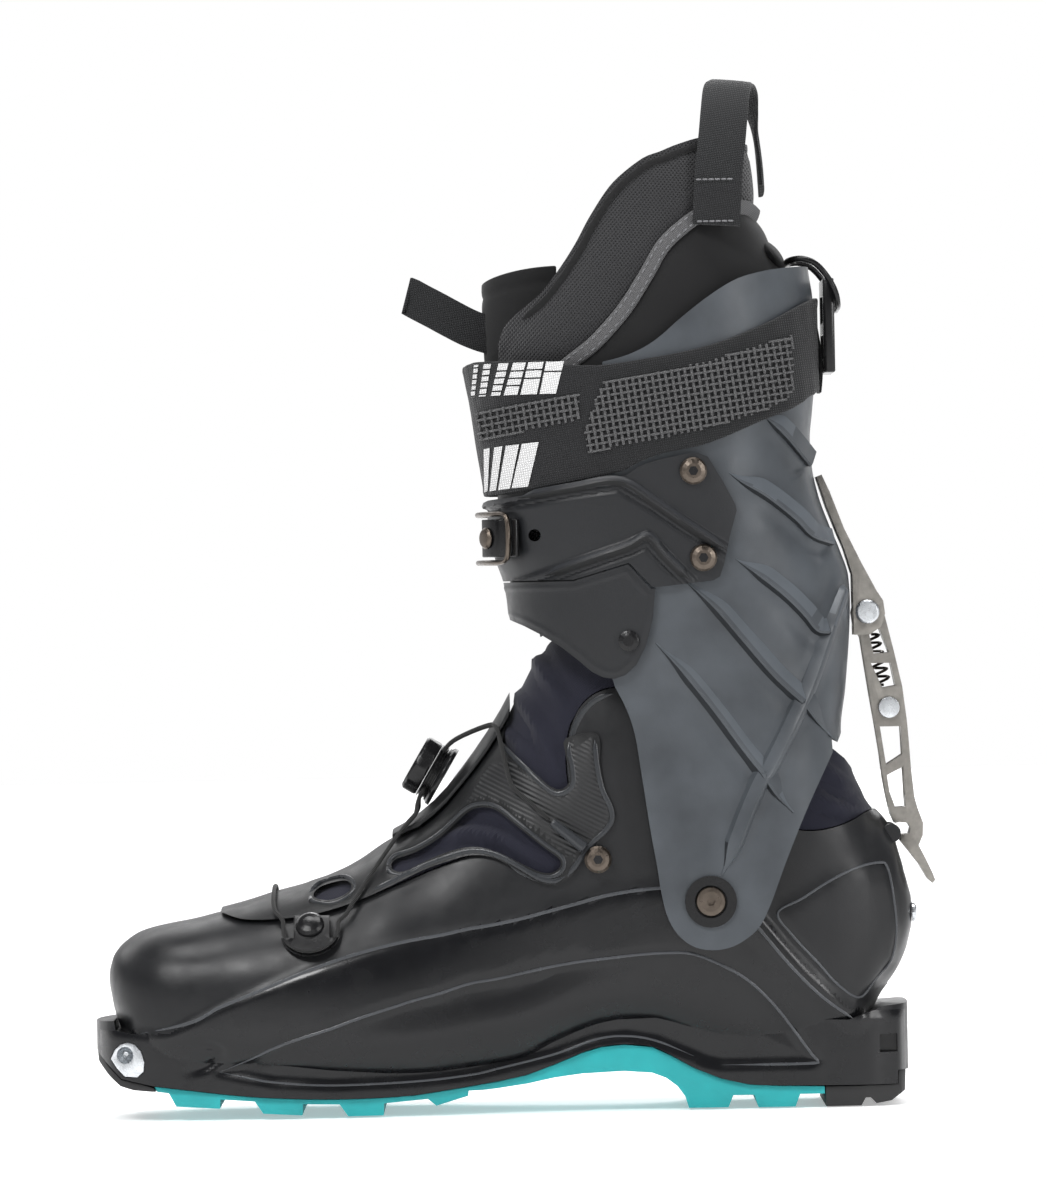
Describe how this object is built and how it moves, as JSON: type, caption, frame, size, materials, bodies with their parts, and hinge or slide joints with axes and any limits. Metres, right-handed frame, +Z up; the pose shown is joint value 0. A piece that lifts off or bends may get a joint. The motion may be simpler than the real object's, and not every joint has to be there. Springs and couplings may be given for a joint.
{
  "type": "ski touring boot",
  "caption": "Right ski touring boot: hinged cuff with walk lock, dial-laced instep, flap buckle, power strap, removable liner and lugged sole.",
  "frame": {"origin": "on the floor under the centre of the boot's bounding box", "axes": "+Z up, the toe points to -X and the heel to +X, -Y is the inner (medial) side of a right boot"},
  "size_m": [0.3045, 0.1221, 0.3711],
  "materials": {
    "shell_plastic": "moulded satin black, glossy along the raised band",
    "cuff_plastic": "moulded slate grey with a soft sheen",
    "flap_plastic": "moulded charcoal with a soft sheen",
    "teal_rubber": "matt moulded rubber",
    "black_rubber": "matt moulded rubber",
    "steel": "satin zinc-plated",
    "dark_steel": "black nickel with a bronze cast",
    "lever_alloy": "bead-blasted and anodised warm grey",
    "navy_fabric": "stretch woven nylon",
    "overlap_tpu": "textured soft plastic film",
    "lace_black": "coated cable",
    "webbing": "woven webbing",
    "liner_mesh": "mesh and brushed fabric over foam",
    "gloss_black": "hard moulded gloss black"
  },
  "bodies": {
    "root": {"lower_shell": "shell_plastic", "outsole": "teal_rubber", "heel_rubber": "black_rubber", "toe_rubber": "black_rubber", "toe_insert": "steel", "heel_insert": "steel", "heel_screw_medial": "steel", "heel_screw_lateral": "steel", "liner_foot": "liner_mesh", "gaiter": "navy_fabric", "instep_overlap": "overlap_tpu", "tongue_guard": "overlap_tpu", "dial_base": "gloss_black", "lace_front": "lace_black", "lace_rear_medial": "lace_black", "lace_rear_lateral": "lace_black", "lace_anchor_medial": "dark_steel", "lace_anchor_lateral": "dark_steel", "lace_sleeve_medial": "dark_steel", "lace_sleeve_lateral": "dark_steel", "lace_guide_medial": "gloss_black", "lace_guide_lateral": "gloss_black", "guide_rivet_medial": "dark_steel", "guide_rivet_lateral": "dark_steel", "lock_bar": "dark_steel", "pivot_bolt_medial": "dark_steel", "pivot_bolt_lateral": "dark_steel", "pivot_washer_medial": "gloss_black", "pivot_washer_lateral": "gloss_black"},
    "cuff": {"cuff_shell": "cuff_plastic", "flap_upper_medial": "flap_plastic", "flap_upper_lateral": "flap_plastic", "flap_lower_medial": "flap_plastic", "flap_lower_lateral": "flap_plastic", "flap_screw_top_medial": "dark_steel", "flap_screw_top_lateral": "dark_steel", "flap_screw_low_medial": "dark_steel", "flap_screw_low_lateral": "dark_steel", "flap_rivet_medial": "gloss_black", "flap_rivet_lateral": "gloss_black", "buckle_catch": "gloss_black", "catch_screw": "dark_steel", "buckle_base": "gloss_black", "buckle_pin": "steel", "power_strap": "webbing", "strap_buckle": "gloss_black", "strap_hook": "steel", "lock_plate": "lever_alloy", "lock_bolt": "steel", "liner_shaft": "liner_mesh", "liner_tongue": "liner_mesh", "liner_loop": "webbing", "tongue_loop": "webbing"},
    "lock_lever": {"lock_lever": "lever_alloy", "lock_rivet": "steel", "lever_spring": "steel"},
    "buckle_lever": {"buckle_lever": "dark_steel"},
    "wire_bail": {"wire_bail": "dark_steel"},
    "dial_spool": {"dial_spool": "dark_steel"},
    "dial_knob": {"dial_knob": "gloss_black"}
  },
  "joints": [
    {"name": "cuff_lean", "type": "hinge", "parent": "root", "child": "cuff", "pos_m": [0.0707, 0, 0.0748], "axis": [0, -1, 0], "range_deg": [-20, 20]},
    {"name": "lock_release", "type": "hinge", "parent": "cuff", "child": "lock_lever", "pos_m": [0.1301, 0, 0.1773], "axis": [0, -1, 0], "range_deg": [0, 45], "stiffness_Nm_per_rad": 0.04, "springref_deg": -17.19},
    {"name": "buckle_open", "type": "hinge", "parent": "cuff", "child": "buckle_lever", "pos_m": [0.0017, 0.0445, 0.2063], "axis": [0, 0, 1], "range_deg": [0, 100]},
    {"name": "bail_swing", "type": "hinge", "parent": "buckle_lever", "child": "wire_bail", "pos_m": [0.0087, 0.05065, 0.2063], "axis": [0, 0, 1], "range_deg": [-150, 0]},
    {"name": "dial_turn", "type": "hinge", "parent": "root", "child": "dial_spool", "pos_m": [-0.02451, 0, 0.11998], "axis": [-0.8601, 0, 0.5101], "continuous": true},
    {"name": "dial_pull", "type": "slide", "parent": "dial_spool", "child": "dial_knob", "axis": [-0.8601, 0, 0.5101], "range_m": [0, 0.0025]}
  ],
  "couplings": [
    {"joint": "bail_swing", "follows": "buckle_open", "ratio": -1.5}
  ]
}
